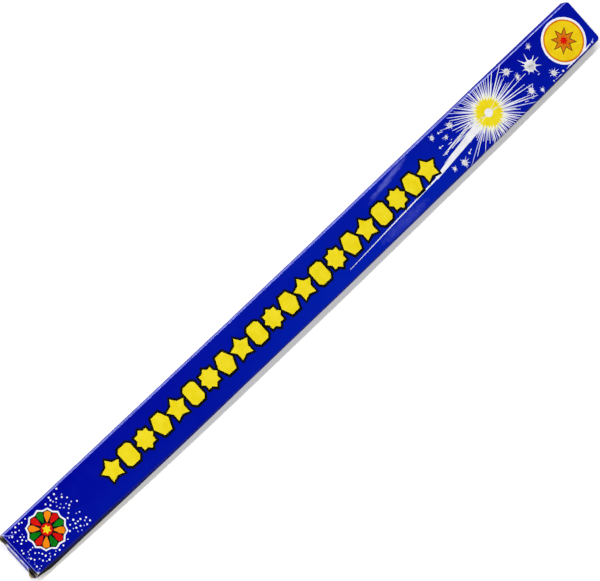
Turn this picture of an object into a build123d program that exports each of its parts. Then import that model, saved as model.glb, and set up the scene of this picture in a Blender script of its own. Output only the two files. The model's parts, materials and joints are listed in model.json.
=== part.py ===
from build123d import *
import os

# A slim folding carton of long sparklers, in millimetres, lying on its back panel.
# X runs along the carton from the handle end to the tip end, Y to its left side, Z up to the front panel.
# The origin is the middle of the underside.

os.makedirs("parts", exist_ok=True)

# Sparklers: a steel wire, bare at the handle and dipped over the rest of its length
sparkler_count = 5
sparkler_length = 700.0
handle_length = 200.0
wire_diameter = 3.6
wire_chamfer = 0.4
coating_diameter = 8.2
collar_length = 9.0
collar_wall = 0.5
tip_flat_diameter = 2.2
tip_cover = 1.8

# Room that the carton leaves round the sparklers
seat_gap = 0.3
sparkler_gap = 0.5
side_room = 1.25
headroom = 3.5
handle_room = 10.0
tip_room = 14.0

# Board and folds
board = 0.5
fold_radius = 0.9
crease_gap = 0.15
slip = 0.35
mouth_setback = 2.5
seam_lift = 0.2
glue_relief = 1.5
glue_end_setback = 8.0

# Lids and tuck flaps
lid_side_play = 0.4
lid_bevel = 0.25
tuck_side_play = 1.75
tuck_length = 7.0
tuck_corner_radius = 3.0
tuck_droop = 9.0
slit_length = 7.0
slit_slope = 0.8

# Dust flaps
dust_length = 13.0
dust_shoulder = 1.3
dust_top_taper = 2.2
dust_tip_height = 2.5
dust_corner_radius = 0.6

# Sizes that follow from those above
wire_radius = wire_diameter / 2
coating_radius = coating_diameter / 2
sparkler_pitch = coating_diameter + sparkler_gap
inside_width = sparkler_count * sparkler_pitch - sparkler_gap + 2 * side_room
inside_height = seat_gap + coating_diameter + headroom
carton_length = sparkler_length + handle_room + tip_room
carton_width = inside_width + 3 * board
carton_height = inside_height + 2 * board
half_length = carton_length / 2
half_width = carton_width / 2
seam_side = half_width - board

# Where the panels end: on the lid's crease, on the dust flaps' creases, or at the open mouth
lid_crease_end = half_length - board - crease_gap
dust_crease_end = half_length - 2 * board - slip - crease_gap
mouth_end = half_length - mouth_setback

# Heights on a lid, measured from its crease towards the mouth panel
lid_width = carton_width - 2 * lid_side_play
tuck_width = inside_width - 2 * tuck_side_play
tuck_fold_width = tuck_width - 2 * slit_length
tuck_rise = carton_height - 2 * board - slip
lid_height = tuck_rise - board / 2 - crease_gap
dust_root_low = board / 2 + slip
dust_root_high = tuck_rise - board / 2 - dust_shoulder
dust_tip_high = dust_root_high - dust_top_taper
dust_tip_low = dust_tip_high - dust_tip_height

# Each closure has its own plane at the lid's crease.
# Its x points into the carton, and its y from the crease to the mouth panel.
# The two ends are the same closure turned half round, so the tip end's lid hangs from the front panel.
handle_end = Plane(origin=(-half_length + board / 2, 0, board / 2), x_dir=(1, 0, 0), z_dir=(0, -1, 0))
tip_end = Plane(
    origin=(half_length - board / 2, 0, carton_height - board / 2), x_dir=(-1, 0, 0), z_dir=(0, -1, 0)
)
ends = {"handle_end": handle_end, "tip_end": tip_end}
sides = {"left": 1, "right": -1}


def write_piece(part, name):
    """Labels a finished piece and writes it under its own name."""
    part.label = name
    export_step(part, f"parts/{name}.step")


# Sleeve: four panels and a glue flap, mitred along the long folds and rounded on the outside


def sleeve_panel(section, x_start, x_end, right_edge=-half_width, low_edge=0.0):
    """A panel of the sleeve: its mitred section, rounded by the fold outline and run along X."""
    outline_width = half_width - right_edge
    outline_height = carton_height - low_edge
    outline_centre = (half_width - outline_width / 2, carton_height - outline_height / 2)
    with BuildPart() as panel:
        with BuildSketch(Plane.YZ.offset(x_start)):
            with BuildLine():
                Polyline(*section, close=True)
            make_face()
            with Locations(outline_centre):
                RectangleRounded(outline_width, outline_height, fold_radius, mode=Mode.INTERSECT)
        extrude(amount=x_end - x_start)
    return panel.part


front_section = [
    (half_width, carton_height),
    (-half_width, carton_height),
    (-half_width + board, carton_height - board),
    (half_width - board, carton_height - board),
]
front_panel = sleeve_panel(front_section, -mouth_end, lid_crease_end)
write_piece(front_panel, "front_panel")

back_section = [
    (half_width, 0),
    (-seam_side, 0),
    (-seam_side + board, board),
    (half_width - board, board),
]
back_panel = sleeve_panel(back_section, -lid_crease_end, mouth_end, right_edge=-seam_side)
write_piece(back_panel, "back_panel")

left_section = [
    (half_width, 0),
    (half_width, carton_height),
    (half_width - board, carton_height - board),
    (half_width - board, board),
]
left_side_panel = sleeve_panel(left_section, -dust_crease_end, dust_crease_end)
write_piece(left_side_panel, "left_side_panel")

# The right side panel covers the glue flap and ends in a raw cut edge just above the underside
right_section = [
    (-half_width, seam_lift),
    (-half_width, carton_height),
    (-half_width + board, carton_height - board),
    (-half_width + board, seam_lift),
]
right_side_panel = sleeve_panel(right_section, -dust_crease_end, dust_crease_end, low_edge=-carton_height)
write_piece(right_side_panel, "right_side_panel")

glue_top = carton_height - board - glue_relief
glue_end = dust_crease_end - glue_end_setback
glue_section = [
    (-seam_side, 0),
    (-seam_side, glue_top),
    (-seam_side + board, glue_top),
    (-seam_side + board, board),
]
glue_flap = sleeve_panel(glue_section, -glue_end, glue_end, right_edge=-seam_side)
write_piece(glue_flap, "glue_flap")


# Closures: every flap is flat board with a round crease on its hinge line


def make_lid(end):
    """The lid, from its crease up to the tuck flap's crease, bevelled inside to let that flap fold down."""
    inner_face = board / 2
    with BuildPart() as lid:
        with BuildSketch(end):
            Circle(board / 2)
            with BuildLine():
                Polyline(
                    (-inner_face, 0),
                    (inner_face, 0),
                    (inner_face, lid_height - lid_bevel),
                    (inner_face - lid_bevel, lid_height),
                    (-inner_face, lid_height),
                    close=True,
                )
            make_face()
        extrude(amount=lid_width / 2, both=True)
    return lid.part


def make_tuck_flap(end):
    """The tuck flap, drooping a little from its crease, with a slit at each end of the crease."""
    profile_plane = Plane(end.location * Location((0, tuck_rise, 0), (0, 0, -tuck_droop)))
    outline_plane = Plane(profile_plane.location * Location((0, 0, 0), (90, 0, 0)))
    fold = tuck_fold_width / 2
    shoulder = tuck_width / 2
    with BuildPart() as tuck:
        with BuildSketch(outline_plane) as outline:
            with BuildLine():
                Polyline(
                    (0, -fold),
                    (slit_slope, -shoulder),
                    (tuck_length, -shoulder),
                    (tuck_length, shoulder),
                    (slit_slope, shoulder),
                    (0, fold),
                    close=True,
                )
            make_face()
            fillet(outline.vertices().group_by(Axis.X)[-1], tuck_corner_radius)
        extrude(amount=board / 2, both=True)
        with BuildSketch(profile_plane):
            Circle(board / 2)
        extrude(amount=fold, both=True)
    return tuck.part


def make_dust_flap(end, side):
    """A dust flap folded in behind the lid, tapered so that the lid and the tuck flap swing clear of it."""
    hinge = (board + slip, 0, -side * (half_width - board / 2))
    outline_plane = Plane(end.location * Location(hinge, (0, -90 * side, 0)))
    crease_plane = Plane(end.location * Location(hinge, (-90, 0, 0))).offset(dust_root_low)
    with BuildPart() as dust:
        with BuildSketch(outline_plane) as outline:
            with BuildLine():
                Polyline(
                    (0, dust_root_low),
                    (dust_length, dust_tip_low),
                    (dust_length, dust_tip_high),
                    (0, dust_root_high),
                    close=True,
                )
            make_face()
            fillet(outline.vertices().group_by(Axis.X)[-1], dust_corner_radius)
        extrude(amount=board / 2, both=True)
        with BuildSketch(crease_plane):
            Circle(board / 2)
        extrude(amount=dust_root_high - dust_root_low)
    return dust.part


for end_name, end in ends.items():
    write_piece(make_lid(end), f"{end_name}_lid")
    write_piece(make_tuck_flap(end), f"{end_name}_tuck_flap")
    for side_name, side in sides.items():
        write_piece(make_dust_flap(end, side), f"{end_name}_{side_name}_dust_flap")


# Sparklers: laid side by side on the back panel, handles towards the handle end

handle_start = -half_length + handle_room
coating_length = sparkler_length - handle_length
wire_length = sparkler_length - tip_cover
sparkler_height = board + seat_gap + coating_radius
first_sparkler = -half_width + 2 * board + side_room + coating_radius


def make_wire(y):
    """The steel wire, with its cut handle end chamfered."""
    with BuildPart() as wire:
        with BuildSketch(Plane.YZ.offset(handle_start)):
            with Locations((y, sparkler_height)):
                Circle(wire_radius)
        extrude(amount=wire_length)
        chamfer(wire.faces().sort_by(Axis.X)[0].edges(), wire_chamfer)
    return wire.part


def make_coating(y):
    """The dipped coating: a tapered collar, an even body and a rounded tip over the end of the wire."""
    coating_start = handle_start + handle_length
    profile_plane = Plane(origin=(coating_start, y, sparkler_height), x_dir=(1, 0, 0), z_dir=(0, -1, 0))
    wire_end = coating_length - tip_cover
    tip_flat = tip_flat_diameter / 2
    tip_radius = coating_radius - tip_flat
    body_end = (coating_length - tip_radius, coating_radius)
    tip_edge = (coating_length, tip_flat)
    with BuildPart() as coating:
        with BuildSketch(profile_plane):
            with BuildLine():
                Polyline(
                    tip_edge,
                    (coating_length, 0),
                    (wire_end, 0),
                    (wire_end, wire_radius),
                    (0, wire_radius),
                    (0, wire_radius + collar_wall),
                    (collar_length, coating_radius),
                    body_end,
                )
                RadiusArc(body_end, tip_edge, tip_radius)
            make_face()
        revolve(axis=Axis((0, y, sparkler_height), (1, 0, 0)))
    return coating.part


for number in range(sparkler_count):
    y = first_sparkler + number * sparkler_pitch
    write_piece(make_wire(y), f"sparkler_{number + 1}_wire")
    write_piece(make_coating(y), f"sparkler_{number + 1}_coating")
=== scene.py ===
import json
import math
import random

import bmesh
import bpy
from mathutils import Matrix, Vector, noise


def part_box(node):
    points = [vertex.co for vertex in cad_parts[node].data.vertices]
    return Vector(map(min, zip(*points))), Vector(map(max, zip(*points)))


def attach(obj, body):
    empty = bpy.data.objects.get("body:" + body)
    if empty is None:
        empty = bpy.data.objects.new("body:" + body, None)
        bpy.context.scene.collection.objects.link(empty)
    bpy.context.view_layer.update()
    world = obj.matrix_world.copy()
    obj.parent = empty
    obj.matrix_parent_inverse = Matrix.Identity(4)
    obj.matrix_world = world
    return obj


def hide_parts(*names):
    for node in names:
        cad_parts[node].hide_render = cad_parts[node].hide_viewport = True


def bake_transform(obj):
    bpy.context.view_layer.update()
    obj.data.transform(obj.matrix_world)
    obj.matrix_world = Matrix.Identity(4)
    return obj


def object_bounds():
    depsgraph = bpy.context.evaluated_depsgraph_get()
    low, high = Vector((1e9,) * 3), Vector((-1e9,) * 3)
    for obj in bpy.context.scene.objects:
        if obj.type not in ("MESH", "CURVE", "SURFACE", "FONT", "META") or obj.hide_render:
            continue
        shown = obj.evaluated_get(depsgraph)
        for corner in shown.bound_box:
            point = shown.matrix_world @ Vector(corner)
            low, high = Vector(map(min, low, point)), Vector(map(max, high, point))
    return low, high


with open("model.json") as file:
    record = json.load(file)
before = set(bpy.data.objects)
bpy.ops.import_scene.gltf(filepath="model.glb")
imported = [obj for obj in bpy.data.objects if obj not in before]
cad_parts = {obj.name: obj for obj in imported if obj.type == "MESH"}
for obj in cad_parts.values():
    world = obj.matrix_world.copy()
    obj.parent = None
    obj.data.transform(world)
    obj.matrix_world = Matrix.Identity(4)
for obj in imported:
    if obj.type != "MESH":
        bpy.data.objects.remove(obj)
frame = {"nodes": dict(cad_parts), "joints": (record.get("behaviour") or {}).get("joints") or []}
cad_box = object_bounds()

# A closed folding carton of long sparklers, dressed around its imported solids, in metres.
# X runs along the carton to the tip end, Y to its left side, Z up to the front panel.

MM = 0.001

# Sizes that the frame gives
half_length, half_width, height = cad_box[1]
lid_low, lid_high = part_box("handle_end_lid")
board = lid_high.x - lid_low.x
lid_half_width = lid_high.y
tuck_half_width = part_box("handle_end_tuck_flap")[1].y
dust_low, dust_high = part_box("handle_end_left_dust_flap")
hinges = {joint["name"]: Vector(joint["pos_m"]) for joint in frame["joints"] if "pos_m" in joint}
lid_hinge = hinges["handle_end_lid_hinge"]
tuck_hinge = hinges["handle_end_tuck_flap_hinge"]
dust_hinge = hinges["handle_end_left_dust_flap_hinge"]
mouth = -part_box("front_panel")[0].x
glue_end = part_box("glue_flap")[1].x
glue_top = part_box("glue_flap")[1].z
seam_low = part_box("right_side_panel")[0].z

# Folds and creases of the board, and how closely they are meshed
fold_radius = 1.3 * MM
crease_radius = 0.75 * MM
crease_run = 1.5 * MM
arc_steps = 8
edge_spots = (0, 0.35 * MM, 0.8 * MM, 1.5 * MM, 2.5 * MM, 4 * MM)
panel_pitch = 2.5 * MM
length_pitch = 5 * MM
sharp_angle = math.radians(40)

# How far handling has bent the carton out of true
sideways_bow = 0.9 * MM
bow_reach = 110 * MM
right_spread = 3.3 * MM
handle_evenness = 2
tip_evenness = 2.5
right_bump = 0.6 * MM
bump_place = -181 * MM
bump_reach = 95 * MM
right_swell = 1.5 * MM
right_flare = 5.4 * MM
flare_start = 20 * MM
flare_end = 250 * MM
flare_least = 0.55
flare_tilt = 1.12
left_flare = 1.0 * MM
edge_power = 8
tip_stretch = 0.55 * MM
stretch_run = 60 * MM
corner_cut = 2.6 * MM
front_crown = 0.45 * MM

# Unevenness, as a depth, its swells to the metre along each axis, and the slice of the noise that is used
ripple_depth = 0.14 * MM
ripple_swells = Vector((16, 45, 0))
ripple_slice = Vector((0, 0, 0.3))
edge_wobble = 0.12 * MM
wobble_swells = Vector((30, 1 / half_width, 0))
wobble_slice = Vector((0, 0, 7.1))


def held(value):
    """The value, held between 0 and 1."""
    return min(max(value, 0.0), 1.0)


def smooth(value, start, end):
    """Goes from 0 at start to 1 at end with soft shoulders."""
    share = held((value - start) / (end - start))
    return share * share * (3 - 2 * share)


def fade(value, start, end):
    """Goes from 1 at start to 0 at end with soft shoulders."""
    return 1 - smooth(value, start, end)


def shift_aside(point, across, rise, inside):
    """How far handling moves a point along Y.

    The sleeve bows sideways. Its right side spreads, bulges and flares out at the foot of the handle end,
    and its left side flares out at the foot of the tip end."""
    bow = sideways_bow * (1 - (point.x / half_length) ** 2)
    if point.x > 0:
        bow = sideways_bow * math.exp(-((point.x / bow_reach) ** 2))
    even = 1 - abs(point.x / half_length) ** (handle_evenness if point.x < 0 else tip_evenness)
    bump = right_bump * math.exp(-(((point.x - bump_place) / bump_reach) ** 2))
    to_right = max(0.0, -across)
    at_right = to_right**edge_power
    at_left = max(0.0, across) ** edge_power
    opened = (right_spread * even + bump) * to_right**2
    swell = right_swell * inside * at_right * 4 * rise * (1 - rise)
    from_handle = point.x + half_length
    at_foot = held(1 - from_handle / flare_end)
    at_foot *= flare_least + (1 - flare_least) * smooth(from_handle, 0, flare_start)
    flare = right_flare * at_right * (1 - flare_tilt * rise) * at_foot
    flare -= left_flare * at_left * (1 - rise) * smooth(point.x, 0, half_length)
    wobble = edge_wobble * inside * noise.noise(point * wobble_swells + wobble_slice)
    return wobble * abs(across) - bow - opened - swell - flare


def settle(point):
    """Where a point of the true carton lies on the handled one.

    Besides its shift aside, the front is crowned and rippled, and the tip end is drawn out and blunted."""
    across = point.y / half_width
    rise = held(point.z / height)
    inside = 1 - (point.x / half_length) ** edge_power
    crown = front_crown * inside * max(0.0, 1 - across * across) * rise
    ripple = ripple_depth * inside * rise * noise.noise(point * ripple_swells + ripple_slice)
    stretch = tip_stretch * smooth(point.x, half_length - stretch_run, half_length)
    moved = point + Vector((stretch, shift_aside(point, across, rise, inside), crown + ripple))
    for side in (1, -1):
        short = max(0.0, corner_cut - (half_length - point.x) - (half_width - side * point.y)) / 2
        moved -= Vector((short, side * short, 0))
    return moved


# Paths across the board


def run_spots(length, pitch):
    """Distances along a straight run, close together near its two ends."""
    near = [spot for spot in edge_spots if spot < length / 2]
    gap = length - 2 * near[-1]
    steps = max(1, math.ceil(gap / pitch))
    middle = [near[-1] + gap * step / steps for step in range(1, steps)]
    return near + middle + [length - spot for spot in reversed(near)]


def rounded_path(corners, radius, outside, pitch=panel_pitch):
    """Samples straight runs joined by round folds.

    Each sample is a point, the outward normal and the way to the nearest fold. outside is 1 where the outer
    face is on the left of the path, and -1 where it is on the right."""
    corners = [Vector(corner) for corner in corners]
    headings = [(b - a).normalized() for a, b in zip(corners, corners[1:])]
    last = len(headings) - 1
    trims = [0.0]
    for before, after in zip(headings, headings[1:]):
        trims.append(radius * math.tan(before.angle(after) / 2))
    trims.append(0.0)
    samples = []
    for index, heading in enumerate(headings):
        left = Vector((-heading.y, heading.x))
        normal = left * outside
        start = corners[index] + heading * trims[index]
        length = (corners[index + 1] - corners[index]).length - trims[index] - trims[index + 1]
        for spot in run_spots(length, pitch):
            to_start = spot if index > 0 else length
            to_end = length - spot if index < last else length
            samples.append((start + heading * spot, normal, min(to_start, to_end)))
        if index < last:
            turn = heading.angle_signed(headings[index + 1])
            stop = start + heading * length
            centre = stop + left * radius * math.copysign(1, -turn)
            for step in range(1, arc_steps):
                turned = Matrix.Rotation(-turn * step / arc_steps, 2)
                samples.append((centre + turned @ (stop - centre), turned @ normal, 0.0))
    return samples


# Materials


def srgb(red, green, blue):
    """A colour as read off a screen, from 0 to 255, as the shader wants it."""
    def linear(value):
        value /= 255
        return value / 12.92 if value <= 0.04045 else ((value + 0.055) / 1.055) ** 2.4
    return linear(red), linear(green), linear(blue), 1.0


class Shader:
    """The node tree of a material or a world, with short ways to add nodes and links."""

    def __init__(self, name, owners=bpy.data.materials, surface="Principled BSDF", places="Object"):
        self.owner = owners.new(name)
        self.owner.use_nodes = True
        self.tree = self.owner.node_tree
        self.surface = self.tree.nodes[surface]
        self.places = self.add("ShaderNodeTexCoord").outputs[places]

    def add(self, kind, **settings):
        node = self.tree.nodes.new(kind)
        for name, value in settings.items():
            setattr(node, name, value)
        return node

    def put(self, value, socket):
        """Sets a socket to a value, or links it to another node's output."""
        if isinstance(value, bpy.types.NodeSocket):
            self.tree.links.new(value, socket)
        else:
            socket.default_value = value

    def feed(self, node, **inputs):
        """Fills sockets, which are named here with underscores for their spaces."""
        for name, value in inputs.items():
            self.put(value, node.inputs[name.replace("_", " ")])

    def noise(self, scale, detail, stretch=(1, 1, 1)):
        """Noise of so many swells to the metre, drawn out along an axis where stretch is below 1."""
        mapping = self.add("ShaderNodeMapping")
        self.feed(mapping, Vector=self.places, Scale=stretch)
        node = self.add("ShaderNodeTexNoise")
        self.feed(node, Vector=mapping.outputs["Vector"], Scale=scale, Detail=detail, Roughness=0.55)
        return node.outputs["Fac"]

    def span(self, value, low, high, to_low=0.0, to_high=1.0, **settings):
        """Maps a value from one span to another, held at its ends."""
        node = self.add("ShaderNodeMapRange", **settings)
        self.feed(node, Value=value, From_Min=low, From_Max=high, To_Min=to_low, To_Max=to_high)
        return node.outputs["Result"]

    def cloud(self, scale, to_low=0.0, to_high=1.0, **settings):
        """Noise whose middle range is mapped to a span."""
        return self.span(self.noise(scale, **settings), 0.3, 0.7, to_low, to_high)

    def maths(self, operation, first, second):
        node = self.add("ShaderNodeMath", operation=operation)
        self.put(first, node.inputs[0])
        self.put(second, node.inputs[1])
        return node.outputs["Value"]

    def mix(self, share, first, second):
        """Mixes two colours, each a value or another node's output."""
        node = self.add("ShaderNodeMix", data_type="RGBA")
        self.put(share, node.inputs["Factor"])
        self.put(first, node.inputs[6])
        self.put(second, node.inputs[7])
        return node.outputs[2]

    def axis(self, name):
        """The place along one axis."""
        node = self.add("ShaderNodeSeparateXYZ")
        self.feed(node, Vector=self.places)
        return node.outputs[name]

    def attribute(self, name):
        return self.add("ShaderNodeAttribute", attribute_name=name).outputs["Fac"]

    def bump(self, height_value, strength, distance):
        node = self.add("ShaderNodeBump")
        self.feed(node, Height=height_value, Strength=strength, Distance=distance)
        self.feed(self.surface, Normal=node.outputs["Normal"])

    def varnish(self, smoothest, roughest):
        """A varnish of uneven gloss, through which the fine grain of the board shows."""
        self.bump(self.cloud(900, detail=2), 0.08, 0.02 * MM)
        return self.span(self.noise(70, detail=4), 0.25, 0.75, smoothest, roughest)

    def finish(self, colour, roughness, **fixed):
        """Fills the surface: a colour and a roughness from nodes, and values that are the same all over."""
        self.feed(self.surface, Base_Color=colour, Roughness=roughness, **fixed)
        return self.owner


# The blue print from deep ink to bare board, and the lengths over which its ink grows fuller and leaner
deep_blue = srgb(0, 4, 149)
full_blue = srgb(0, 30, 170)
# Pale blue of abraded print, also used for painted highlights and painted sheens
rubbed_and_lit_blue = srgb(136, 146, 240)
bare_board = srgb(226, 216, 204)
# Near-black brown of painted shade
painted_shade_colour = srgb(22, 17, 13)
fuller_run = (-290 * MM, 30 * MM)
leaner_run = (140 * MM, 210 * MM)
dullest = 0.95


def make_printed_board(name, specular):
    """Deep blue ink under varnish: mottled, paler where it is abraded and under painted highlights and
    sheens, down to the board at the worst, darkened to near black by painted shade.
    """
    shader = Shader(name)
    mottle = shader.cloud(22, -0.18, 0.18, detail=4, stretch=(0.4, 1, 1))
    across = shader.span(shader.axis("Y"), half_width, -half_width, -0.1, 0.2)
    fuller = shader.span(shader.axis("X"), *fuller_run, 0.05, 0.7)
    leaner = shader.span(shader.axis("X"), *leaner_run, 0.0, -0.35)
    ink = shader.maths("ADD", shader.maths("ADD", across, mottle), shader.maths("ADD", fuller, leaner))
    blue = shader.mix(ink, deep_blue, full_blue)
    patches = shader.cloud(260, 0.6, 1.2, detail=4)
    # Abrasion, painted highlights and painted sheens, broken into patches, turn the blue paler
    rubbed_and_lit = shader.maths("MULTIPLY", shader.attribute("wear_and_highlight"), patches)
    blue = shader.mix(shader.span(rubbed_and_lit, 0.05, 0.75), blue, rubbed_and_lit_blue)
    colour = shader.mix(shader.span(rubbed_and_lit, 0.75, 1.05), blue, bare_board)
    # Painted shade darkens the print to near black and makes it matt
    painted_shade = shader.attribute("painted_shade")
    colour = shader.mix(painted_shade, colour, painted_shade_colour)
    matt = shader.maths("MAXIMUM", painted_shade, shader.attribute("dull"))
    roughness = shader.maths("MAXIMUM", shader.varnish(0.14, 0.24), shader.maths("MULTIPLY", matt, dullest))
    return shader.finish(colour, roughness, Specular_IOR_Level=specular)


def make_plain_board():
    """The unprinted inside: grey-brown recycled board with short fibres and flecks."""
    shader = Shader("plain_board")
    fibres = shader.cloud(420, detail=6, stretch=(0.25, 1, 1))
    colour = shader.mix(fibres, srgb(160, 147, 106), srgb(192, 180, 138))
    flecks = shader.span(shader.noise(1500, detail=1), 0.68, 0.74)
    colour = shader.mix(flecks, colour, srgb(96, 84, 66))
    shader.bump(fibres, 0.3, 0.06 * MM)
    return shader.finish(colour, shader.span(fibres, 0, 1, 0.75, 0.95))


def make_raw_edge():
    """The cut edge of the board: tan, streaked by its layers."""
    shader = Shader("raw_edge")
    layers = shader.cloud(2500, detail=3)
    colour = shader.mix(layers, srgb(160, 147, 100), srgb(200, 188, 140))
    shader.bump(layers, 0.4, 0.05 * MM)
    return shader.finish(colour, shader.span(layers, 0, 1, 0.8, 0.95))


def make_ink(name, deep, pale):
    """A printed ink between two tones, under the same varnish as the blue."""
    shader = Shader(name)
    mottle = shader.cloud(130, detail=5)
    return shader.finish(shader.mix(mottle, srgb(*deep), srgb(*pale)), shader.varnish(0.16, 0.26))


def make_steel_wire():
    """Drawn steel wire: grey, with fine lengthwise scratches and a little brown tarnish."""
    shader = Shader("steel_wire")
    scratches = shader.cloud(2600, detail=3, stretch=(0.01, 1, 1))
    colour = shader.mix(scratches, srgb(140, 136, 130), srgb(196, 192, 186))
    tarnish = shader.span(shader.noise(60, detail=5, stretch=(0.5, 1, 1)), 0.55, 0.75, 0.0, 0.6)
    colour = shader.mix(tarnish, colour, srgb(124, 92, 66))
    shader.bump(scratches, 0.2, 0.02 * MM)
    return shader.finish(colour, shader.span(scratches, 0, 1, 0.32, 0.5), Metallic=0.9)


def make_spark_coating():
    """The dipped coating: matte grey slurry, pitted, with bright metal flecks."""
    shader = Shader("spark_coating")
    slurry = shader.cloud(120, detail=6)
    colour = shader.mix(slurry, srgb(86, 87, 90), srgb(128, 128, 130))
    flecks = shader.span(shader.noise(2600, detail=1), 0.66, 0.72)
    colour = shader.mix(flecks, colour, srgb(206, 206, 210))
    shader.bump(shader.noise(1400, detail=5), 0.5, 0.15 * MM)
    return shader.finish(colour, shader.span(slurry, 0, 1, 0.7, 0.9))


# The printed board comes in grades from glossy to matt, because its gloss is the same all over one material
glossy_specular = 0.35
duller_speculars = (0.3, 0.25, 0.2, 0.15, 0.1)
printed_boards = [make_printed_board("printed_board", glossy_specular)]
for grade, specular in enumerate(duller_speculars, start=1):
    printed_boards.append(make_printed_board(f"duller_board_{grade}", specular))
plain_board = make_plain_board()
raw_edge = make_raw_edge()
steel_wire = make_steel_wire()
spark_coating = make_spark_coating()
yellow_ink = make_ink("yellow_ink", (236, 212, 14), (244, 226, 44))
black_ink = make_ink("black_ink", (5, 6, 14), (14, 16, 26))
white_ink = make_ink("white_ink", (232, 232, 240), (248, 248, 250))
cream_ink = make_ink("cream_ink", (238, 236, 190), (246, 244, 214))
# Pale blue of fine scuffs and of painted highlights on creases
scuff_and_highlight_ink = make_ink("scuff_and_highlight_ink", (120, 130, 226), (176, 182, 246))
pale_ink = make_ink("pale_ink", (176, 178, 226), (214, 214, 242))
red_ink = make_ink("red_ink", (206, 8, 10), (224, 26, 12))
orange_ink = make_ink("orange_ink", (236, 120, 6), (246, 146, 20))
green_ink = make_ink("green_ink", (4, 104, 14), (12, 134, 20))
amber_ink = make_ink("amber_ink", (210, 104, 10), (226, 130, 20))
gold_ink = make_ink("gold_ink", (236, 196, 8), (244, 214, 28))

# Board pieces

board_materials = [*printed_boards, plain_board, raw_edge]
inside_kind = board_materials.index(plain_board)
cut_kind = board_materials.index(raw_edge)
dull_from = 0.4
matt_from = 0.8


def gloss_grade(dull):
    """The grade of a patch of print, from 0, the glossy board, to the dullest of the duller boards."""
    return round(len(duller_speculars) * smooth(dull, dull_from, matt_from))


def link_mesh(name, points, faces, materials, kinds=None):
    """Makes a mesh object with its faces turned outwards, smooth with sharp cut edges.

    kinds gives each face's place in the list of materials, where there is more than one."""
    mesh = bpy.data.meshes.new(name)
    mesh.from_pydata(points, [], faces)
    for material in materials:
        mesh.materials.append(material)
    if kinds:
        mesh.polygons.foreach_set("material_index", kinds)
    turned = bmesh.new()
    turned.from_mesh(mesh)
    bmesh.ops.recalc_face_normals(turned, faces=turned.faces)
    turned.to_mesh(mesh)
    turned.free()
    mesh.shade_smooth()
    mesh.set_sharp_from_angle(angle=sharp_angle)
    mesh.validate()
    piece = bpy.data.objects.new(name, mesh)
    bpy.context.scene.collection.objects.link(piece)
    return piece


def closed_sheet(count, faces, border):
    """The faces of a sheet: its top of so many points, the same underneath, and a rim round its border."""
    under = [tuple(count + index for index in reversed(face)) for face in faces]
    rim = [(b, a, count + a, count + b) for a, b in zip(border, border[1:] + border[:1])]
    return faces + under + rim


def board_piece(name, samples, across, place, use):
    """A sheet of board along a path: printed outside, plain inside, raw on its cut edges.

    across gives a sample's places along the third axis, and place puts a path point and such a place
    in space. use says, at a point so far from a fold and an edge, how abraded and brightened by painted
    highlights, how darkened by painted shade and how dull the print is."""
    rows = [across(sample) for sample in samples]
    row_count, column_count = len(rows), len(rows[0])
    count = row_count * column_count
    points = []
    # Abrasion with painted highlights, painted shade, and dullness of the print
    looks = {"wear_and_highlight": [], "painted_shade": [], "dull": []}
    for side in (1, -1):
        for (middle, normal, to_fold), row in zip(samples, rows):
            face = middle + normal * (side * board / 2)
            for spot in row:
                point = place(face, spot)
                to_edge = min(spot - min(row), max(row) - spot)
                points.append(settle(point))
                look = use(point, to_fold, to_edge) if side > 0 else (0.0, 0.0, 0.0)
                for values, value in zip(looks.values(), look):
                    values.append(value)
    faces, kinds = [], []
    for i in range(row_count - 1):
        for j in range(column_count - 1):
            corner = i * column_count + j
            faces.append((corner, corner + 1, corner + column_count + 1, corner + column_count))
            kinds.append(gloss_grade(min(looks["dull"][index] for index in faces[-1])))
    last_row = count - column_count
    border = [*range(column_count), *range(2 * column_count - 1, count, column_count)]
    border += [*range(count - 2, last_row - 1, -1), *range(last_row - column_count, 0, -column_count)]
    kinds += [inside_kind] * len(faces) + [cut_kind] * len(border)
    piece = link_mesh(name, points, closed_sheet(count, faces, border), board_materials, kinds)
    for attribute, values in looks.items():
        piece.data.attributes.new(attribute, "FLOAT", "POINT").data.foreach_set("value", values)
    return piece


# Sleeve: one strip of board from the glue flap round to the raw seam edge

right_middle = -half_width + board / 2
glue_middle = right_middle + board
left_middle = half_width - board / 2
back_middle = board / 2
front_middle = height - board / 2
sleeve_corners = (
    (glue_middle, glue_top),
    (glue_middle, back_middle),
    (left_middle, back_middle),
    (left_middle, front_middle),
    (right_middle, front_middle),
    (right_middle, seam_low),
)
lid_panel_end = -lid_hinge.x - crease_run
dust_panel_end = -dust_hinge.x - crease_run
end_spread = 16 * MM
sleeve_stations = [spot - mouth for spot in run_spots(2 * mouth, length_pitch)]

# Rub of the folds and the open mouths, and a painted highlight along the left fold
fold_mark_swing = 0.3
fold_mark_swells = Vector((26, 40, 0))
fold_mark_slice = Vector((0, 0, 2))
fold_mark_reach = 0.6 * MM
left_rub_and_highlight = 0.75
left_mark_drop = 0.08 * MM
right_rub = 0.05
mouth_rub = 0.9
mouth_rub_reach = 0.7 * MM
# Thin painted highlight line, partly wear, that the left fold's mark narrows to towards the tip end
line_rub_and_highlight = 0.85
line_top = 0.1 * MM
line_foot = (0.4 * MM, 0.75 * MM)
line_fade = 0.7
fade_run = 14 * MM
# Worn corners of the front panel, as a centre, a reach and a strength
worn_spots = (
    (Vector((-mouth, half_width, height)), 2.6 * MM, 1.2),
    (Vector((-mouth, -half_width, height)), 3.6 * MM, 1.7),
    (Vector((half_length, -half_width, height)), 3.0 * MM, 0.25),
)
spot_core = 0.2
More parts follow.
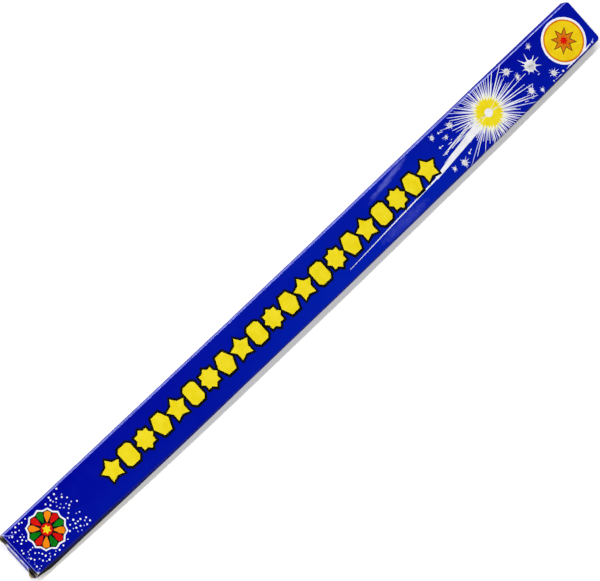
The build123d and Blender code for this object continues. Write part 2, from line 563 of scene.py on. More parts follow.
# Painted sheens on the front panel, as a centre, a reach along and across, a slant and a strength
painted_sheens = (
    (Vector((118 * MM, 17.5 * MM)), 40 * MM, 3.6 * MM, 0.13, 0.36),
    (Vector((105 * MM, -19 * MM)), 56 * MM, 8 * MM, 0.0, 0.14),
)
sheen_core = 0.1
# Painted shade of the right side: blotchy and darker towards the foot at the handle end, a painted contact
# shadow along the foot, and a film of painted shade towards the tip end
blotch_depth = 2.5 * MM
blotch_swells = Vector((60, 0, 90))
blotch_slice = Vector((0, 0.5, 0))
shade_top = 0.2 * MM
shade_full = 0.45 * height
shade_run = (70 * MM, 190 * MM)
foot_shade = 0.8
shade_line = 1.5 * MM
tip_shade = 0.5
tip_shade_run = (230 * MM, 320 * MM)
# Dull varnish of the side panels, on the left more towards the tip end
left_dull = 0.58
tip_dull = 0.85
right_dull = 0.85
dull_run = (205 * MM, 275 * MM)
dull_drop = (0.3 * MM, 0.8 * MM)
side_start = half_width - 1.2 * MM
side_full = half_width - 0.1 * MM


def fold_wear_and_highlight(point, drop):
    """Marks of the long folds: abraded, and on the left also a painted highlight, where the upper one ends
    in a thin pale painted highlight line.
    """
    unevenness = 1 - fold_mark_swing + fold_mark_swing * noise.noise(point * fold_mark_swells + fold_mark_slice)
    if point.y <= 0:
        return right_rub * unevenness
    # Abrasion and painted highlight on the lit left fold
    worn_and_lit = left_rub_and_highlight * unevenness * smooth(drop, 0, left_mark_drop)
    line = line_rub_and_highlight * smooth(drop, 0, line_top) * fade(drop, *line_foot)
    line *= 1 - line_fade * smooth(point.x, half_length - fade_run, half_length)
    return worn_and_lit + (line - worn_and_lit) * smooth(point.x, *dull_run)


def spot_wear_and_sheen(point, at_front):
    """Abrasion of the corners and, on the front panel, the painted sheens."""
    worn_and_lit = 0.0
    for centre, reach, strength in worn_spots:
        worn_and_lit = max(worn_and_lit, strength * fade((point - centre).length, spot_core * reach, reach))
    # Painted sheens on the front panel
    if at_front:
        for centre, along, across, slant, strength in painted_sheens:
            way = point.xy - centre
            far = math.hypot(way.x / along, (way.y - slant * way.x) / across)
            worn_and_lit = max(worn_and_lit, strength * fade(far, sheen_core, 1.0))
    return worn_and_lit


def painted_side_shade(point, drop):
    """Painted shade of the right side panel."""
    # Painted shade, blotchy, darker towards the foot near the handle end
    blotch = blotch_depth * noise.noise(point * blotch_swells + blotch_slice)
    painted_shade = smooth(drop + blotch, shade_top, shade_full) * fade(point.x + half_length, *shade_run)
    # Also a painted contact shadow along the foot and painted shade towards the tip end
    return max(painted_shade, foot_shade * fade(point.z, 0, shade_line), tip_shade * smooth(point.x, *tip_shade_run))


def sleeve_use(point, to_fold, to_edge):
    """Rubbed along folds and open mouths, brightened by a painted highlight on the left fold and painted
    sheens on the front, abraded at corners, darkened by painted shade on the right and dull on both sides.
    """
    drop = height - point.z
    worn_and_lit = fold_wear_and_highlight(point, drop) * fade(to_fold, 0, fold_mark_reach)
    at_front = drop < board
    at_mouth = point.x < 0 if at_front else point.x > 0 and point.z < board
    if at_mouth:
        worn_and_lit = max(worn_and_lit, mouth_rub * fade(to_edge, 0, mouth_rub_reach))
    worn_and_lit = max(worn_and_lit, spot_wear_and_sheen(point, at_front))
    on_side = smooth(abs(point.y), side_start, side_full)
    painted_shade = 0.0
    dull = left_dull + (tip_dull - left_dull) * smooth(point.x, *dull_run)
    if point.y <= 0:
        # Painted shade on the right side panel
        painted_shade = painted_side_shade(point, drop) * on_side
        dull = right_dull
    return worn_and_lit, painted_shade, dull * smooth(drop, *dull_drop) * on_side


def panel_ends(middle):
    """How far the sleeve reaches towards the handle end and the tip end at a point of its section."""
    y, z = middle
    if z < height / 2 and abs(y - glue_middle) < board / 4:
        return glue_end, glue_end
    if z > height - fold_radius / 2:
        return mouth, lid_panel_end
    if z < fold_radius / 2:
        return lid_panel_end, mouth
    return dust_panel_end, dust_panel_end


def sleeve_across(sample):
    """The stations along the carton, moved near its ends to where this part of the sleeve stops."""
    to_handle, to_tip = panel_ends(sample[0])
    row = []
    for station in sleeve_stations:
        near_handle = fade(station, -mouth, -mouth + end_spread)
        near_tip = smooth(station, mouth - end_spread, mouth)
        row.append(station - (to_handle - mouth) * near_handle + (to_tip - mouth) * near_tip)
    return row


def place_on_sleeve(face, spot):
    return Vector((spot, face.x, face.y))


sleeve_path = rounded_path(sleeve_corners, fold_radius - board / 2, -1)
sleeve = board_piece("sleeve", sleeve_path, sleeve_across, place_on_sleeve, sleeve_use)
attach(sleeve, "sleeve")
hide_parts("front_panel", "back_panel", "left_side_panel", "right_side_panel", "glue_flap")

# Closures: worked out at the handle end, and turned half round about Y for the tip end

slit_length = 7 * MM
slit_end = 0.1 * MM
slit_slope = (0.3 * MM, 0.8 * MM)
tuck_fold_half = tuck_half_width - slit_length
tuck_length = 7 * MM
tuck_droop = math.radians(9)
tuck_corner = 3 * MM
tuck_start = tuck_hinge.z - 0.9 * MM
lid_top = tuck_hinge.z + 0.15 * MM
dust_length = 13 * MM
dust_root = (dust_low.z, dust_high.z)
dust_tip = (dust_high.z - 4.7 * MM, dust_high.z - 2.2 * MM)
flap_pitch = 1.5 * MM

# How handling has bent the flaps
lid_bulge = 2.7 * MM
bulge_end = (tuck_fold_half - 5 * MM, tuck_fold_half + 1 * MM)
crease_out = 0.3 * MM
crease_out_rise = (0.4, 0.85)
crease_out_run = 4 * MM
left_lean = 1.6 * MM
right_lean = 4.0 * MM
lean_run = (tuck_fold_half - 2 * MM, lid_half_width - 2 * MM)
lid_taper = 0.03
shoulder_drop = 1.3 * MM
shoulder_run = 3 * MM

# How the flaps are rubbed along creases and cut edges, with a painted highlight on the handle end's crease,
# and given painted shade beside the slits
flap_mark_swing = 0.2
flap_mark_swells = Vector((90, 60, 90))
handle_crease_rub_and_highlight = 1.27
tip_crease_rub = 0.15
crease_mark_depth = (0.4 * MM, 1.1 * MM)
crease_mark_reach = 0.9 * MM
cut_rub = 0.3
cut_rub_reach = 0.6 * MM
slit_shade_run = (tuck_fold_half - 0.5 * MM, tuck_fold_half + 1 * MM)
slit_shade_rise = (height - 6 * MM, height - 4 * MM)
slit_shade_start = (0.4 * MM, 0.8 * MM)
slit_shade_end = (2.4 * MM, 3.6 * MM)

ends = {
    "handle_end": lambda point: point,
    "tip_end": lambda point: Vector((-point.x, point.y, height - point.z)),
}


def spread(low, high, widest=None):
    """Places from low to high, close together near both, as many as the widest row of the flap has."""
    widest = widest or high - low
    return [low + (high - low) * spot / widest for spot in run_spots(widest, flap_pitch)]


def flap_use(point, to_fold, to_edge):
    """Rubbed along the cut edges and the outer curve of the creases, much more at the handle end,
    where the crease mark is mostly a painted highlight.

    There painted shade darkens the print beside the tuck flap's crease, in the slits."""
    unevenness = 1 - flap_mark_swing + flap_mark_swing * noise.noise(point * flap_mark_swells)
    inward = half_length - abs(point.x)
    # At the handle end the crease mark is mostly a painted highlight on the outer curve
    on_crease = handle_crease_rub_and_highlight if point.x < 0 else tip_crease_rub
    on_crease *= fade(inward, *crease_mark_depth) * fade(to_fold, 0, crease_mark_reach)
    worn_and_lit = max(on_crease, cut_rub * fade(to_edge, 0, cut_rub_reach))
    painted_shade = 0.0
    if point.x < 0:
        # Painted shade in the slits beside the tuck flap's crease
        painted_shade = smooth(abs(point.y), *slit_shade_run) * smooth(point.z, *slit_shade_rise)
        painted_shade *= smooth(inward, *slit_shade_start) * fade(inward, *slit_shade_end)
    return unevenness * worn_and_lit, painted_shade, 0.0


def lean_out(point):
    """Where a point of a closed lid stands.

    The lid bulges low down, and its tapered ends lean out beside the slits."""
    rise = held((point.z - lid_hinge.z) / (lid_top - lid_hinge.z))
    reach = smooth(point.x, -mouth, lid_hinge.x)
    lean = right_lean if point.y < 0 else left_lean
    beside = smooth(abs(point.y), *lean_run)
    bulge = lid_bulge * math.sin(math.pi * rise) ** 2 * (1 - rise) * fade(point.y, *bulge_end)
    out = bulge + crease_out * smooth(rise, *crease_out_rise) + lean * beside * rise**3
    return Vector((point.x - out * reach, point.y * (1 - lid_taper * rise * beside), point.z))


def make_lid(end, turn):
    """The lid, from the edge of its panel round the crease to the raw edge beside the tuck flap."""
    corners = (
        (lid_hinge.x + crease_run, lid_hinge.z),
        (lid_hinge.x, lid_hinge.z),
        (lid_hinge.x, lid_top),
    )
    crease_top = lid_hinge.z + crease_run
    beside = spread(tuck_fold_half + slit_end, lid_half_width)
    columns = [-spot for spot in reversed(beside)] + spread(-tuck_fold_half, tuck_fold_half) + beside

    def place(face, spot):
        """Between the slits the lid stops lower, where the tuck flap carries on."""
        z = face.y
        if abs(spot) <= tuck_fold_half and z > crease_top:
            z = crease_top + (z - crease_top) * (tuck_start - crease_top) / (lid_top - crease_top)
        return turn(lean_out(Vector((face.x, spot, z))))

    samples = rounded_path(corners, crease_radius - board / 2, 1, flap_pitch)
    piece = board_piece(f"{end}_lid_board", samples, lambda sample: columns, place, flap_use)
    start = turn(Vector((lid_hinge.x + crease_run, 0, lid_hinge.z)))
    stop = turn(Vector((lid_hinge.x, 0, lid_hinge.z + crease_run)))
    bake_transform(piece)
    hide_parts(f"{end}_lid")


def make_tuck_flap(end, turn):
    """The tuck flap, hung from the lid's crease between its two slits, with round corners."""
    heading = Vector((math.cos(tuck_droop), -math.sin(tuck_droop)))
    hinge = Vector((tuck_hinge.x, tuck_hinge.z))
    corners = ((hinge.x, tuck_start), hinge, hinge + heading * tuck_length)

    def across(sample):
        reach = (sample[0] - hinge).dot(heading)
        half = tuck_fold_half + (tuck_half_width - tuck_fold_half) * smooth(reach, *slit_slope)
        over = max(0.0, reach - (tuck_length - tuck_corner))
        half -= tuck_corner - math.sqrt(max(0.0, tuck_corner**2 - over**2))
        return spread(-half, half, 2 * tuck_half_width)

    def place(face, spot):
        """The shoulders beside the crease hang lower, free of the lid."""
        drop = shoulder_drop * smooth(abs(spot), tuck_fold_half, tuck_fold_half + shoulder_run)
        out = crease_out * fade(face.x, hinge.x, hinge.x + crease_out_run)
        return turn(Vector((face.x - out, spot, face.y - drop)))

    samples = rounded_path(corners, crease_radius - board / 2, 1, flap_pitch)
    piece = board_piece(f"{end}_tuck_board", samples, across, place, flap_use)
    start = turn(Vector((hinge.x, 0, tuck_start)))
    stop = turn(Vector((hinge.x + crease_run, 0, hinge.y)))
    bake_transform(piece)
    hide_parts(f"{end}_tuck_flap")


def make_dust_flap(end, turn, side, sign):
    """A dust flap, from the edge of the side panel round its crease and in behind the lid."""
    hinge = Vector((dust_hinge.x, dust_hinge.y))
    corners = (
        (hinge.x + crease_run, hinge.y),
        hinge,
        (hinge.x, hinge.y - dust_length),
    )

    def across(sample):
        share = held((hinge.y - sample[0].y) / dust_length)
        low, high = (root + (tip - root) * share for root, tip in zip(dust_root, dust_tip))
        return spread(low, high, dust_root[1] - dust_root[0])

    def place(face, spot):
        return turn(Vector((face.x, sign * face.y, spot)))

    samples = rounded_path(corners, crease_radius - board / 2, -1, flap_pitch)
    piece = board_piece(f"{end}_{side}_dust_board", samples, across, place, flap_use)
    start = turn(Vector((hinge.x + crease_run, sign * hinge.y, height / 2)))
    stop = turn(Vector((hinge.x, sign * (hinge.y - crease_run), height / 2)))
    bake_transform(piece)
    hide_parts(f"{end}_{side}_dust_flap")


for end, turn in ends.items():
    make_lid(end, turn)
    make_tuck_flap(end, turn)
    for side, sign in (("left", 1), ("right", -1)):
        make_dust_flap(end, turn, side, sign)

# Print: wafers of ink that lie on the board and follow it over its folds

ink_step = 0.016 * MM
ink_root = 0.02 * MM
patch_pitch = 3 * MM
fold_pitch = 0.45 * MM
flat_half = half_width - fold_radius
fold_run = fold_radius * math.pi / 2
print_bleed = 5 * MM
upright = math.pi / 2
scatter = random.Random(70)


def drawn(least, most):
    """A length drawn at random between two in millimetres."""
    return scatter.uniform(least, most) * MM


def heading_at(angle):
    return Vector((math.cos(angle), math.sin(angle)))


def on_front(x, across, lift):
    """A place on the front panel. Past a long fold it carries on down the side panel."""
    over = abs(across) - flat_half
    angle = min(max(over / fold_radius, 0.0), math.pi / 2)
    reach = fold_radius + lift
    y = flat_half + reach * math.sin(angle) if over > 0 else abs(across)
    z = height - fold_radius + reach * math.cos(angle) - max(0.0, over - fold_run)
    return settle(Vector((x, math.copysign(y, across), z)))


def star_outline(points, outer, inner, turn=0.0):
    """The corners of a star, first an outer one, counted round from turn."""
    corners = []
    for corner in range(2 * points):
        radius = inner if corner % 2 else outer
        angle = turn + math.pi * corner / points
        corners.append((radius * math.cos(angle), radius * math.sin(angle)))
    return corners


def disc_outline(radius, corners):
    return star_outline(corners // 2, radius, radius)


def grown(outline, margin, sharpest=2.2):
    """The outline moved out by a margin, with its sharp points cut back."""
    corners = [Vector(corner) for corner in outline]
    moved = []
    for before, corner, after in zip(corners[-1:] + corners[:-1], corners, corners[1:] + corners[:1]):
        edges = (corner - before).normalized(), (after - corner).normalized()
        normals = [Vector((edge.y, -edge.x)) for edge in edges]
        move = (normals[0] + normals[1]) * margin / (1 + normals[0].dot(normals[1]))
        move *= min(1.0, sharpest * margin / move.length)
        moved.append(tuple(corner + move))
    return moved


def divided(outline):
    """The outline with points added along its long edges."""
    corners = [Vector(corner) for corner in outline]
    points = []
    for corner, after in zip(corners, corners[1:] + corners[:1]):
        steps = max(1, math.ceil((after - corner).length / patch_pitch))
        points += [tuple(corner.lerp(after, step / steps)) for step in range(steps)]
    return points


def ragged(outline, share):
    """The outline with each corner drawn in by up to a share of its distance."""
    corners = []
    for x, y in outline:
        kept = 1 - scatter.uniform(0, share)
        corners.append((x * kept, y * kept))
    return corners


class Ink:
    """What one ink prints of a motif, as closed wafers. Its level says how many inks lie under it."""

    def __init__(self, level):
        self.lift = ink_root + level * ink_step
        self.points = []
        self.faces = []

    def add(self, places, faces, border):
        """Adds a wafer that is rooted in the board."""
        start = len(self.points)
        for lift in (self.lift, -ink_root):
            self.points += [on_front(x, across, lift) for x, across in places]
        for face in closed_sheet(len(places), faces, border):
            self.faces.append(tuple(start + index for index in face))

    def patch(self, centre, outline):
        """A patch that can be seen whole from its centre, such as a disc or a star."""
        outline = divided(outline)
        count = len(outline)
        over_fold = max(abs(centre[1] + y) for x, y in outline) > flat_half
        pitch = fold_pitch if over_fold else patch_pitch
        rings = math.ceil(max(math.hypot(x, y) for x, y in outline) / pitch)
        places = [tuple(centre)]
        for ring in range(1, rings + 1):
            places += [(centre[0] + x * ring / rings, centre[1] + y * ring / rings) for x, y in outline]
        faces = [(0, 1 + i, 1 + (i + 1) % count) for i in range(count)]
        for ring in range(1, rings):
            outer = 1 + ring * count
            inner = outer - count
            for i in range(count):
                after = (i + 1) % count
                faces.append((inner + i, outer + i, outer + after, inner + after))
        self.add(places, faces, list(range(len(places) - count, len(places))))

    def streak(self, start, end, start_width, end_width):
        """A straight stroke that changes its width evenly along its length."""
        run = Vector(end) - Vector(start)
        aside = Vector((-run.y, run.x)).normalized()
        over_fold = max(abs(start[1]), abs(end[1])) > flat_half
        steps = math.ceil(run.length / (fold_pitch if over_fold else patch_pitch))
        places = []
        for step in range(steps + 1):
            middle = Vector(start) + run * step / steps
            half = start_width / 2 + (end_width - start_width) / 2 * step / steps
            places += [tuple(middle - aside * half), tuple(middle + aside * half)]
        faces = [(2 * i, 2 * i + 1, 2 * i + 3, 2 * i + 2) for i in range(steps)]
        border = list(range(0, 2 * steps + 2, 2)) + list(range(2 * steps + 1, 0, -2))
        self.add(places, faces, border)

    def marks(self, marks):
        """Strokes that are each given by two ends and two widths in millimetres."""
        for start, end, start_width, end_width in marks:
            self.streak(Vector(start) * MM, Vector(end) * MM, start_width * MM, end_width * MM)

    def make(self, name, material):
        piece = link_mesh(name, self.points, self.faces, [material])
        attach(piece, "sleeve")


def print_patch(name, material, level, centre, outline):
    """Prints a motif that is one patch of one ink."""
    ink = Ink(level)
    ink.patch(centre, outline)
    ink.make(name, material)


# Row of bold stars, plaques and gems along the middle of the front panel

row_start = -248 * MM
row_across = -1.0 * MM
row_pitch = 20.05 * MM
motif_count = 21
row_border = 2.4 * MM
gem_squeeze = 0.8


def plaque_outline(half_wide, half_tall, cut):
    """A plaque that stands upright, with its corners cut off."""
    corners = []
    for right, up in ((1, -1), (1, 1), (-1, 1), (-1, -1)):
        side = (right * half_wide, up * (half_tall - cut))
        end = (right * (half_wide - cut), up * half_tall)
        corners += [side, end] if right == up else [end, side]
    return corners


row_motifs = (
    star_outline(5, 10.8 * MM, 6.5 * MM, turn=upright),
    plaque_outline(7.3 * MM, 9.5 * MM, 2.8 * MM),
    star_outline(8, 9.9 * MM, 7.5 * MM, turn=upright),
    [(gem_squeeze * x, y) for x, y in disc_outline(10.9 * MM, corners=6)],
)


def print_row():
    """Yellow stars, plaques and gems on black borders."""
    borders = Ink(level=4)
    fills = Ink(level=5)
    for number in range(motif_count):
        motif = row_motifs[number % len(row_motifs)]
        centre = (row_start + number * row_pitch, row_across)
        borders.patch(centre, grown(motif, row_border, sharpest=1.25))
        fills.patch(centre, motif)
    borders.make("row_borders", black_ink)
    fills.make("row_fills", yellow_ink)


# Burst of sparks at the head of a drawn stick, with small stars around it

burst_centre = Vector((233 * MM, -2 * MM))
burst_room = half_width + print_bleed - abs(burst_centre.y)
ray_count = 84
ray_root = 9 * MM
spark_count = 40
spark_limit = half_width - 1.5 * MM
core_streak_count = 9
core_streak_root = 2 * MM
stick_waist = Vector((154 * MM, -12.0 * MM))
stick_end = Vector((36 * MM, -16.4 * MM))
stick_angle = math.atan2(*reversed(stick_waist - burst_centre))
stick_streak_count = 14
spike_count = 10
# Small stars, as a place along and across and a size in millimetres
small_stars = (
    (293, 3, 10.5), (278, -14, 4.6), (272, 14, 5.4), (304, 17, 3.0), (306, -16.5, 4.4), (287, -20, 2.6),
    (277, 4, 3.0), (197, 14.5, 4.2), (184, -18.5, 4.4), (173, -16.5, 2.6), (187, 8.5, 2.6), (176, 17, 3.2),
)


def ray_end(heading, reach):
    """The end of a ray, held back where it would run too far down a side panel."""
    return burst_centre + heading * min(reach, burst_room / max(abs(heading.y), 0.01))


def print_rays():
    """White and pale rays, and loose sparks beyond them."""
    pale = Ink(level=1)
    white = Ink(level=2)
    for number in range(ray_count):
        heading = heading_at(2 * math.pi * (number + scatter.uniform(-0.4, 0.4)) / ray_count)
        end = ray_end(heading, drawn(24, 52))
        width = drawn(1.1, 1.7)
        ink = white if number % 3 else pale
        ink.streak(burst_centre + heading * ray_root, end, width, 0.35 * MM)
    for number in range(spark_count):
        angle = scatter.uniform(0, 2 * math.pi)
        start = burst_centre + heading_at(angle) * drawn(30, 66)
        end = start + heading_at(angle) * drawn(1.4, 4.5)
        if abs(end.y) < spark_limit:
            white.streak(start, end, 0.7 * MM, 0.3 * MM)
            if number % 3 == 0:
                white.patch(end, star_outline(4, 1.6 * MM, 0.6 * MM, turn=angle))
    pale.make("burst_pale_rays", pale_ink)
    white.make("burst_white_rays", white_ink)


def print_burst():
    """Rays round a ragged yellow core with a white heart."""
    print_rays()
    glow = star_outline(34, 20 * MM, 13.5 * MM)
    print_patch("burst_glow", cream_ink, 3, burst_centre, ragged(glow, 0.15))
    core = star_outline(30, 15.5 * MM, 12 * MM)
    print_patch("burst_core", yellow_ink, 4, burst_centre, ragged(core, 0.12))
    streaks = Ink(level=5)
    for number in range(core_streak_count):
        heading = heading_at(stick_angle + scatter.uniform(-0.4, 0.4) + math.pi * (number % 2))
        end = burst_centre + heading * drawn(9, 15)
        streaks.streak(burst_centre + heading * core_streak_root, end, 0.8 * MM, 0.25 * MM)
    streaks.make("burst_streaks", cream_ink)
    print_patch("burst_heart", white_ink, 6, burst_centre, disc_outline(4 * MM, corners=24))


def print_stick():
    """The drawn stick, broad at the burst and thin at its far end, with loose streaks on its left."""
    stick = Ink(level=2)
    stick.streak(burst_centre, stick_waist, 9 * MM, 2.6 * MM)
    stick.streak(stick_waist, stick_end, 1.3 * MM, 0.3 * MM)
    heading = (stick_waist - burst_centre).normalized()
    for number in range(stick_streak_count):
        start = burst_centre + heading * drawn(16, 46) + Vector((0, drawn(1, 8)))
        end = start + heading * drawn(8, 26)
        stick.streak(start, end, drawn(0.6, 1.2), 0.25 * MM)
    stick.make("drawn_stick", white_ink)


def print_small_stars():
    """Each a bright disc with thin spikes."""
    stars = Ink(level=3)
    for x, across, size in small_stars:
        centre = Vector((x, across)) * MM
        radius = size * MM
        stars.patch(centre, star_outline(spike_count, 0.6 * radius, 0.5 * radius))
        for spike in range(spike_count):
            heading = heading_at(2 * math.pi * (spike + scatter.uniform(-0.25, 0.25)) / spike_count)
            tip = centre + heading * radius * scatter.uniform(0.7, 1.4)
            stars.streak(centre, tip, 0.22 * radius, 0.12 * MM)
    stars.make("small_stars", white_ink)


# Round badge at the tip end and rosette among white specks at the handle end

badge_centre = (333.6 * MM, -1.5 * MM)
badge_limit = -21.9 * MM
rosette_centre = Vector((-327 * MM, 0.5 * MM))
rosette_radius = 17.5 * MM
rosette_border = 1.5 * MM
petal_count = 12
petal_room = math.pi / petal_count
petal_root = 6.4 * MM
petal_tip = 0.94 * rosette_radius
speck_count = 84
speck_gap = 2.6 * MM
speck_clearance = rosette_radius + 2.5 * MM
speck_thinning = (-305 * MM, -285 * MM)


def print_badge():
    """Discs of white, amber and gold under a star."""
    star = star_outline(8, 11.5 * MM, 5.6 * MM)
    rim = [(x, max(y, badge_limit - badge_centre[1])) for x, y in disc_outline(21.9 * MM, corners=144)]
    layers = (
        ("badge_rim", white_ink, rim),
        ("badge_ring", amber_ink, disc_outline(19.8 * MM, corners=72)),
        ("badge_field", gold_ink, disc_outline(18.3 * MM, corners=72)),
        ("badge_star_border", black_ink, grown(star, 0.7 * MM)),
        ("badge_star", amber_ink, star),
        ("badge_eye", red_ink, star_outline(8, 4.2 * MM, 2.6 * MM)),
    )
    for level, (name, material, outline) in enumerate(layers, start=1):
        print_patch(name, material, level, badge_centre, outline)


def petal_outline(angle):
    """A petal, blunt at its outer end, and the place that it is seen whole from."""
    shares = ((0.35, petal_root), (0.9, 0.75 * petal_tip), (0.75, 0.93 * petal_tip), (0.0, petal_tip))
    corners = [(radius, share * petal_room) for share, radius in shares]
    corners += [(radius, -half) for radius, half in reversed(corners[:-1])]
    middle = (petal_root + petal_tip) / 2
    centre = (middle * math.cos(angle), middle * math.sin(angle))
    outline = []
    for radius, half in corners:
        x = radius * math.cos(angle + half)
        y = radius * math.sin(angle + half)
        outline.append((x - centre[0], y - centre[1]))
    return centre, outline


def print_rosette():
    """A ring of petals in three colours on a dark ground with a white border."""
    ground = star_outline(petal_count, rosette_radius, 0.9 * rosette_radius, turn=petal_room)
    print_patch("rosette_border", white_ink, 1, rosette_centre, grown(ground, rosette_border))
    print_patch("rosette_ground", black_ink, 2, rosette_centre, ground)
    colours = {"red": red_ink, "orange": orange_ink, "green": green_ink}
    petals = [Ink(level=3) for colour in colours]
    for number in range(petal_count):
        centre, outline = petal_outline(2 * math.pi * (number + 0.5) / petal_count)
        petals[number % len(petals)].patch(rosette_centre + Vector(centre), outline)
    for (colour, material), ink in zip(colours.items(), petals):
        ink.make(f"rosette_{colour}_petals", material)
    print_patch("rosette_hub", red_ink, 3, rosette_centre, disc_outline(5.4 * MM, corners=32))
    print_patch("rosette_star", yellow_ink, 4, rosette_centre, star_outline(6, 4.4 * MM, 2.4 * MM))


def print_specks():
    """White specks scattered round the rosette."""
    specks = Ink(level=1)
    spots = []
    while len(spots) < speck_count:
        spot = Vector((drawn(-357, -288), drawn(-21, 21)))
        thinned = smooth(spot.x, *speck_thinning) > scatter.random()
        clear = (spot - rosette_centre).length > speck_clearance
        if clear and not thinned and all((spot - other).length > speck_gap for other in spots):
            spots.append(spot)
            specks.patch(spot, disc_outline(drawn(0.4, 1.0), corners=8))
    specks.make("white_specks", white_ink)


# Marks of handling, in millimetres: painted highlights on creases by two corners, lines and spots rubbed
# bare near the tip end

crease_highlights = (
    ((-359, 22.6), (-355.4, 18.9), 0.35, 0.9),
    ((-355.4, 18.9), (-351.2, 16.8), 0.9, 0.25),
    ((353.8, -20.2), (356.6, -18.6), 1.0, 0.4),
)
bare_lines = (
    ((318, -21.6), (325, -21.5), 0.3, 1.0),
    ((325, -21.5), (343, -21.4), 1.0, 1.2),
    ((343, -21.4), (351, -20.6), 1.4, 0.9),
    ((303, -21.7), (311, -21.8), 0.25, 0.5),
)
bare_spots = ((353.5, -20.6, 1.2), (314, -20.8, 1.3), (321, -21.2, 0.8), (301, -21.4, 1.0))
scuff_count = 12


def print_scuffs():
    """Painted highlights on creases, fine scuff marks along the handle end's mouth, and marks abraded to
    the bare board.
    """
    scuffs_and_crease_highlights = Ink(level=1)
    # Painted highlights on creases by two corners
    scuffs_and_crease_highlights.marks(crease_highlights)
    for number in range(scuff_count):
        start = Vector((drawn(-358.5, -354), drawn(-20, -4)))
        heading = heading_at(scatter.uniform(-0.6, 0.6) - upright)
        end = start + heading * drawn(0.6, 2.4)
        scuffs_and_crease_highlights.streak(start, end, drawn(0.15, 0.4), 0.1 * MM)
    scuffs_and_crease_highlights.make("scuffs_and_crease_highlights", scuff_and_highlight_ink)
    bare = Ink(level=0)
    bare.marks(bare_lines)
    for x, across, size in bare_spots:
        outline = star_outline(4, size * MM, 0.5 * size * MM, turn=scatter.uniform(0, 1))
        bare.patch((x * MM, across * MM), outline)
    bare.make("bare_spots", white_ink)


print_row()
print_burst()
print_stick()
print_small_stars()
print_badge()
print_rosette()
print_specks()
print_scuffs()

# Sparklers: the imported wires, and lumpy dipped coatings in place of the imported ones

sparkler_count = 5
coating_pitch = 2.5 * MM
coating_sides = 20
coating_lumps = 0.09
collar_length = 9 * MM
collar_coat = 0.5 * MM
tip_steps = 6
lump_swells = 110
lump_turn = 0.9
lump_offset = 9
wire_low, wire_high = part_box("sparkler_1_wire")
wire_radius = (wire_high.z - wire_low.z) / 2


def make_coating(number):
    """A coat dipped over the wire: thin at its collar, uneven along its length and round at its tip."""
    low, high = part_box(f"sparkler_{number}_coating")
    length = high.x - low.x
    radius = (high.z - low.z) / 2
    middle = (low + high) / 2
    straight = length - radius
    steps = math.ceil((straight - edge_spots[-1]) / coating_pitch)
    stations = list(edge_spots) + [edge_spots[-1] + coating_pitch * step for step in range(1, steps)]
    stations += [straight + radius * math.sin(math.pi / 2 * step / tip_steps) for step in range(tip_steps)]
    thin = wire_radius + collar_coat
    points = []
    for spot in stations:
        tip = max(0.0, spot - straight) / radius
        full = (thin + (radius - thin) * smooth(spot, 0, collar_length)) * math.sqrt(1 - tip * tip)
        for side in range(coating_sides):
            around = Vector((0, *heading_at(2 * math.pi * side / coating_sides)))
            place = Vector((spot * lump_swells + number * lump_offset, 0, 0)) + around * lump_turn
            lump = noise.fractal(place, 1.0, 2.0, 3)
            shrink = 1 - coating_lumps * held(0.5 + lump)
            points.append(Vector((low.x + spot, middle.y, middle.z)) + around * full * shrink)
    faces = [tuple(range(coating_sides)), tuple(range(len(points) - coating_sides, len(points)))]
    for ring in range(len(stations) - 1):
        for side in range(coating_sides):
            a = ring * coating_sides + side
            b = ring * coating_sides + (side + 1) % coating_sides
            faces.append((a, b, b + coating_sides, a + coating_sides))
    piece = link_mesh(f"sparkler_{number}_coat", points, faces, [spark_coating])
    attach(piece, f"sparkler_{number}")
    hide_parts(f"sparkler_{number}_coating")


for number in range(1, sparkler_count + 1):
    make_coating(number)
    wire = frame["nodes"][f"sparkler_{number}_wire"]
    wire.data.materials.clear()
    wire.data.materials.append(steel_wire)

# Floor, lamps and camera

pure_white = (1.0, 1.0, 1.0, 1.0)
floor_reach = 8.0
floor_glow = 0.36
near_glow = (1.0, 0.985, 0.93, 1.0)
glow_run = (0.8, 2.4)
wall_light = 0.2
ceiling_light = 0.02
ceiling_run = (0.62, 0.9)


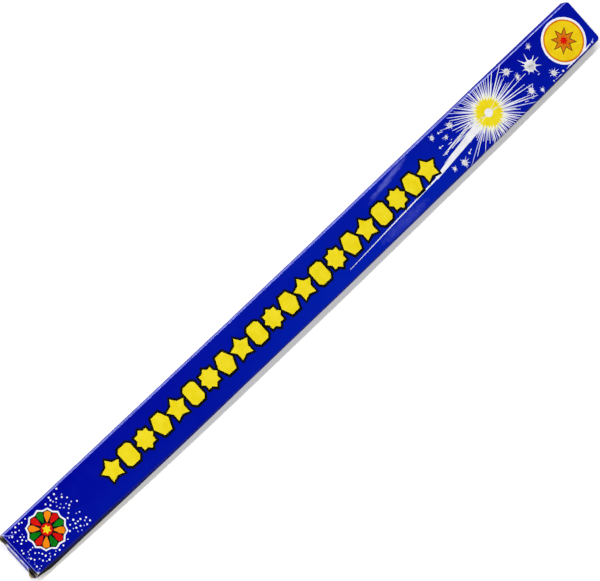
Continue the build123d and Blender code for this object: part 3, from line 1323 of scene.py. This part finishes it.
def make_floor():
    """A white floor that keeps the shadow, with light of its own where it is looked at.

    Near the carton that light is weak and warm, so the shadow stays grey. Far off the floor stays white."""
    shader = Shader("floor_white")
    corners = [(x * floor_reach, y * floor_reach, 0) for x, y in ((-1, -1), (1, -1), (1, 1), (-1, 1))]
    floor = link_mesh("floor", corners, [(0, 1, 2, 3)], [shader.owner])
    shader.feed(shader.surface, Base_Color=(0.9, 0.9, 0.9, 1.0), Roughness=1.0, Specular_IOR_Level=0.0)
    rays = shader.add("ShaderNodeLightPath").outputs
    seen = shader.maths("MAXIMUM", rays["Is Camera Ray"], rays["Is Glossy Ray"])
    seen = shader.maths("MAXIMUM", seen, rays["Is Transmission Ray"])
    way = shader.add("ShaderNodeVectorMath", operation="LENGTH")
    shader.put(shader.places, way.inputs[0])
    far = shader.span(way.outputs["Value"], *glow_run)
    tint = shader.mix(far, near_glow, pure_white)
    glow = shader.maths("MULTIPLY", seen, shader.span(far, 0.0, 1.0, floor_glow, 1.0))
    shader.feed(shader.surface, Emission_Color=tint, Emission_Strength=glow)


def make_lamp(name, place, target, width, depth, power):
    """A soft box that faces a target."""
    lamp = bpy.data.lights.new(name, "AREA")
    lamp.shape = "RECTANGLE"
    lamp.size = width
    lamp.size_y = depth
    lamp.energy = power
    holder = bpy.data.objects.new(name, lamp)
    holder.location = place
    holder.rotation_euler = (Vector(target) - Vector(place)).to_track_quat("-Z", "Y").to_euler()
    bpy.context.scene.collection.objects.link(holder)


def make_world():
    """A pale studio all round under a dark ceiling, which keeps the gloss on the front panel deep.

    Looked at directly it is white."""
    shader = Shader("studio", bpy.data.worlds, surface="Background", places="Generated")
    bpy.context.scene.world = shader.owner
    up = shader.axis("Z")
    light = shader.span(up, *ceiling_run, wall_light, ceiling_light, interpolation_type="SMOOTHSTEP")
    seen = shader.add("ShaderNodeLightPath").outputs["Is Camera Ray"]
    shader.feed(shader.surface, Color=pure_white, Strength=shader.maths("MAXIMUM", light, seen))


make_floor()
make_lamp("key_lamp", place=(0.0, 1.36, 2.22), target=(0, 0, 0), width=5.0, depth=0.26, power=96)
make_lamp("fill_lamp", place=(-2.1, -0.25, 1.45), target=(-0.3, 0, 0), width=1.2, depth=0.2, power=11)
make_world()

# Camera at the photograph's viewing angle
camera = bpy.data.objects.new("camera", bpy.data.cameras.new("camera"))
camera.data.lens = 210
camera.data.sensor_width = 36
camera.location = (-0.77462, 0.33078, 3.05044)
camera.rotation_euler = [math.radians(angle) for angle in (5.1681, -14.4356, -43.4486)]
bpy.context.scene.collection.objects.link(camera)
bpy.context.scene.camera = camera
bpy.context.scene.view_settings.view_transform = "Standard"
